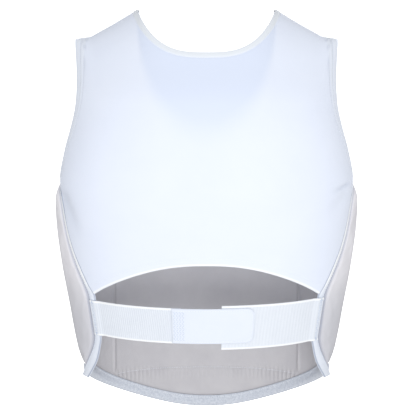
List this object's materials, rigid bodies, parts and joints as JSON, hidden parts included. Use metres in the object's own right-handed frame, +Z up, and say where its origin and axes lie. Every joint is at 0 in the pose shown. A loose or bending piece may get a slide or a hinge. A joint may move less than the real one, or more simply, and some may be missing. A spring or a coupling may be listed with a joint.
{
  "type": "karate chest protector",
  "caption": "Sleeveless padded chest and side guard with a stretch cloth back, closed behind the waist by an elastic strap with a hook tab.",
  "frame": {"origin": "midway between the two shoulder ridges, at the height of their neck ends, where it hangs on the wearer's shoulders", "axes": "+Z up, +Y towards the wearer's back, +X towards the wearer's left"},
  "size_m": [0.3938, 0.249, 0.5553],
  "materials": {
    "cloth": "matt fine stretch knit",
    "pad": "smooth coated cloth over foam",
    "lining": "matt woven lining",
    "tape": "folded woven tape",
    "elastic": "ribbed woven elastic",
    "tab": "smooth back of hook tape"
  },
  "bodies": {
    "root": {"back_panel": "cloth", "front_yoke": "cloth", "front_pad": "pad", "side_pad_left": "pad", "side_pad_right": "pad", "lining": "lining", "side_tape_left": "tape", "side_tape_right": "tape", "hem_binding": "tape", "elastic_left": "elastic", "elastic_right": "elastic", "closure_tab": "tab"}
  },
  "joints": []
}
